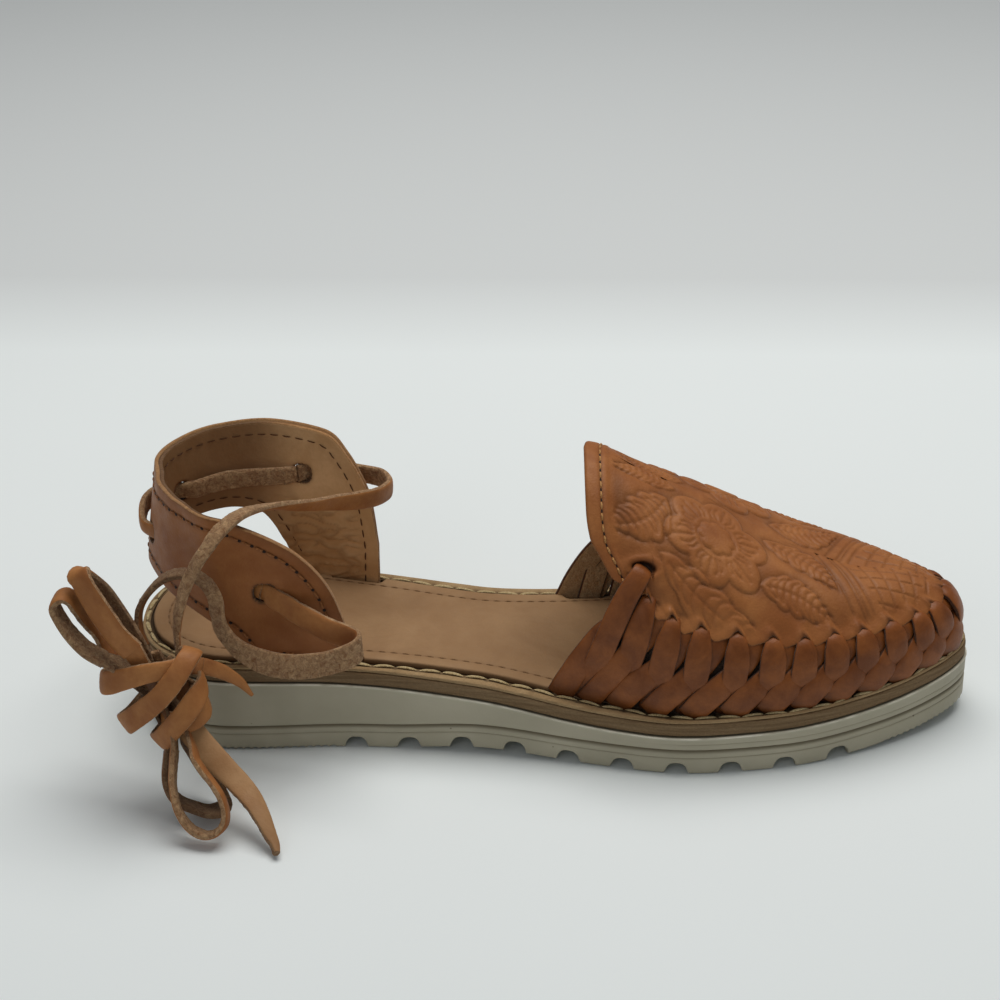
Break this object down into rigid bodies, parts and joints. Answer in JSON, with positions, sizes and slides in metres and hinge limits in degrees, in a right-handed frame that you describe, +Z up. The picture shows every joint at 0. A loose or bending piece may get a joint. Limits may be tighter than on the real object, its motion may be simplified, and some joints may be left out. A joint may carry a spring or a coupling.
{
  "type": "ankle tie sandal",
  "caption": "Right-foot closed-toe sandal: tooled vamp, plaited side, welted moulded sole, open heel band and a flat leather ankle tie knotted in a bow.",
  "frame": {"origin": "on the ground, under the middle of the sole's length and width", "axes": "+X to the toe, +Y to the medial side, +Z up"},
  "size_m": [0.2696, 0.135, 0.0865],
  "materials": {
    "outsole": "cream moulded, satin",
    "midsole": "raw tan board edge, matte",
    "welt_strip": "pale strip with cream stitching, matte",
    "insole": "natural light tan, smooth",
    "vamp": "tan, tooled, semi-gloss",
    "plaited_wall": "tan strips, darker in the weave",
    "heel_band": "tan outside, light tan lining",
    "ankle_tie": "tan grain side, fuzzy pale flesh side"
  },
  "bodies": {
    "root": {"outsole": "outsole", "midsole": "midsole", "welt_strip": "welt_strip", "insole": "insole", "vamp": "vamp", "plaited_wall": "plaited_wall", "heel_band": "heel_band", "tie_threaded": "ankle_tie", "tie_knot": "ankle_tie", "tie_run_lateral": "ankle_tie", "tie_run_medial": "ankle_tie", "tie_loop_long": "ankle_tie", "tie_loop_short": "ankle_tie", "tie_loop_thin": "ankle_tie", "tie_loop_dark": "ankle_tie", "tie_tail_long": "ankle_tie", "tie_tail_short": "ankle_tie"}
  },
  "joints": []
}
